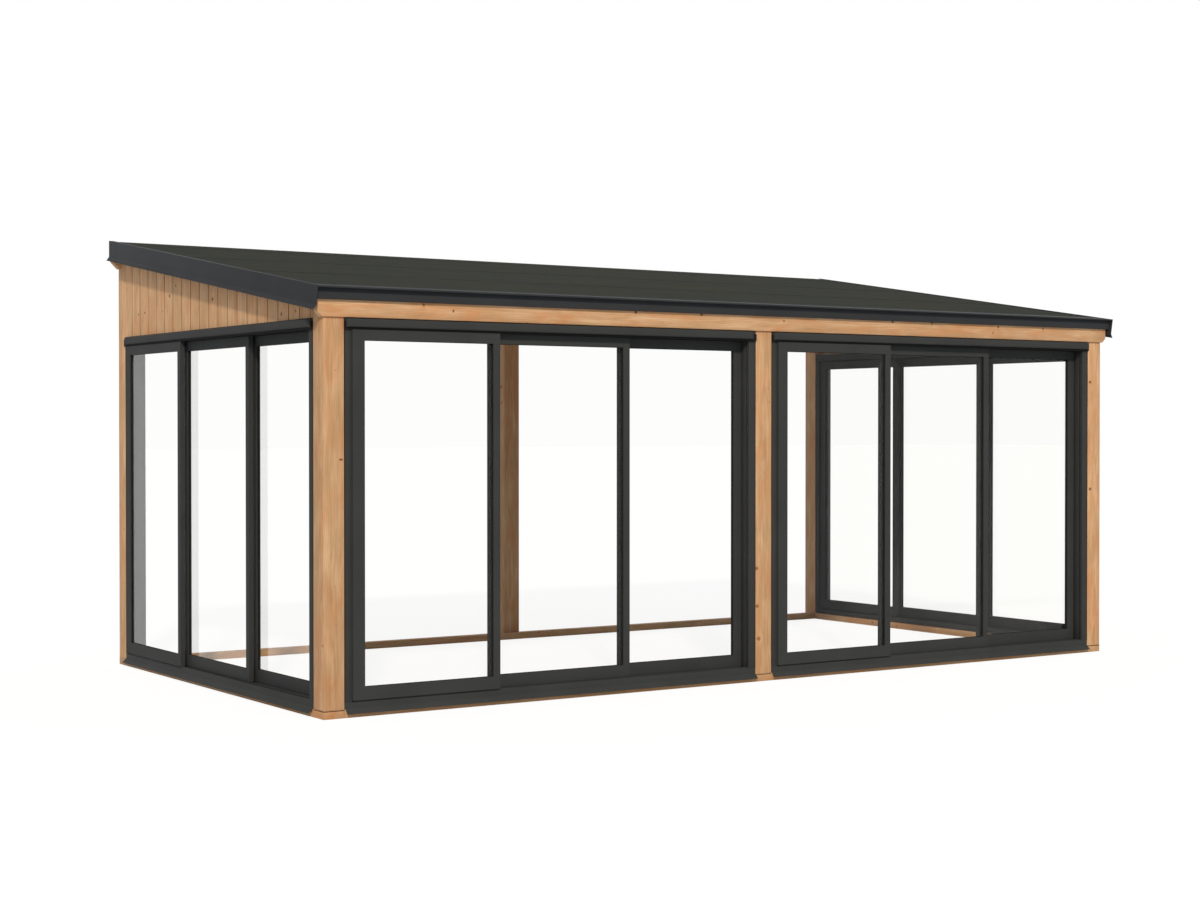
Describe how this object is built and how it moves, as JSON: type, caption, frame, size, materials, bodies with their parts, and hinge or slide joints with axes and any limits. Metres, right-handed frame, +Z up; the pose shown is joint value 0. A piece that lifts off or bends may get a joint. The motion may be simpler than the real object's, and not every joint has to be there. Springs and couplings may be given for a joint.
{
  "type": "summerhouse",
  "caption": "Open-backed timber summerhouse with a low pent roof, its front and both sides closed by sliding glass doors on three tracks.",
  "frame": {"origin": "ground level, at the middle of the whole outline in plan", "axes": "+X along the front wall to the right seen from the front, +Y from the front to the open back, +Z up"},
  "size_m": [5.912, 3.0349, 2.6948],
  "materials": {
    "timber": "planed softwood, untreated and clear",
    "roof_timber": "tongued and grooved roof boards",
    "felt": "mineral roofing felt, matt",
    "trim_metal": "satin powder coat",
    "door_metal": "fine matt powder coat",
    "glass": "clear toughened glass"
  },
  "bodies": {
    "building": {"front_plate": "timber", "left_plate": "timber", "right_plate": "timber", "back_plate": "timber", "front_posts": "timber", "back_posts": "timber", "front_beam": "timber", "back_beam": "timber", "rafters": "timber", "gable_rails": "timber", "left_gable_boards": "timber", "right_gable_boards": "timber", "roof_boards": "roof_timber", "roof_felt": "felt", "left_verge_trim": "trim_metal", "right_verge_trim": "trim_metal", "front_drip_trim": "trim_metal", "front_fascia": "trim_metal", "front_left_head": "door_metal", "front_right_head": "door_metal", "left_head": "door_metal", "right_head": "door_metal", "front_left_sill": "door_metal", "front_right_sill": "door_metal", "left_sill": "door_metal", "right_sill": "door_metal", "front_left_jambs": "door_metal", "front_right_jambs": "door_metal", "left_jambs": "door_metal", "right_jambs": "door_metal"},
    "front_left_door_1": {"front_left_door_1_frame": "door_metal", "front_left_door_1_glass": "glass"},
    "front_left_door_2": {"front_left_door_2_frame": "door_metal", "front_left_door_2_glass": "glass"},
    "front_left_door_3": {"front_left_door_3_frame": "door_metal", "front_left_door_3_glass": "glass"},
    "front_right_door_1": {"front_right_door_1_frame": "door_metal", "front_right_door_1_glass": "glass"},
    "front_right_door_2": {"front_right_door_2_frame": "door_metal", "front_right_door_2_glass": "glass"},
    "front_right_door_3": {"front_right_door_3_frame": "door_metal", "front_right_door_3_glass": "glass"},
    "left_door_1": {"left_door_1_frame": "door_metal", "left_door_1_glass": "glass"},
    "left_door_2": {"left_door_2_frame": "door_metal", "left_door_2_glass": "glass"},
    "left_door_3": {"left_door_3_frame": "door_metal", "left_door_3_glass": "glass"},
    "right_door_1": {"right_door_1_frame": "door_metal", "right_door_1_glass": "glass"},
    "right_door_2": {"right_door_2_frame": "door_metal", "right_door_2_glass": "glass"},
    "right_door_3": {"right_door_3_frame": "door_metal", "right_door_3_glass": "glass"}
  },
  "joints": [
    {"name": "front_left_door_1_slide", "type": "slide", "parent": "building", "child": "front_left_door_1", "axis": [1, 0, 0], "range_m": [0, 1.712]},
    {"name": "front_left_door_2_slide", "type": "slide", "parent": "building", "child": "front_left_door_2", "axis": [1, 0, 0], "range_m": [-0.836, 0.828]},
    {"name": "front_left_door_3_slide", "type": "slide", "parent": "building", "child": "front_left_door_3", "axis": [1, 0, 0], "range_m": [-1.72, 0]},
    {"name": "front_right_door_1_slide", "type": "slide", "parent": "building", "child": "front_right_door_1", "axis": [1, 0, 0], "range_m": [0, 1.712]},
    {"name": "front_right_door_2_slide", "type": "slide", "parent": "building", "child": "front_right_door_2", "axis": [1, 0, 0], "range_m": [-0.836, 0.828]},
    {"name": "front_right_door_3_slide", "type": "slide", "parent": "building", "child": "front_right_door_3", "axis": [1, 0, 0], "range_m": [-1.72, 0]},
    {"name": "left_door_1_slide", "type": "slide", "parent": "building", "child": "left_door_1", "axis": [0, -1, 0], "range_m": [0, 1.7253]},
    {"name": "left_door_2_slide", "type": "slide", "parent": "building", "child": "left_door_2", "axis": [0, -1, 0], "range_m": [-0.8427, 0.8347]},
    {"name": "left_door_3_slide", "type": "slide", "parent": "building", "child": "left_door_3", "axis": [0, -1, 0], "range_m": [-1.7333, 0]},
    {"name": "right_door_1_slide", "type": "slide", "parent": "building", "child": "right_door_1", "axis": [0, 1, 0], "range_m": [0, 1.7253]},
    {"name": "right_door_2_slide", "type": "slide", "parent": "building", "child": "right_door_2", "axis": [0, 1, 0], "range_m": [-0.8427, 0.8347]},
    {"name": "right_door_3_slide", "type": "slide", "parent": "building", "child": "right_door_3", "axis": [0, 1, 0], "range_m": [-1.7333, 0]}
  ]
}
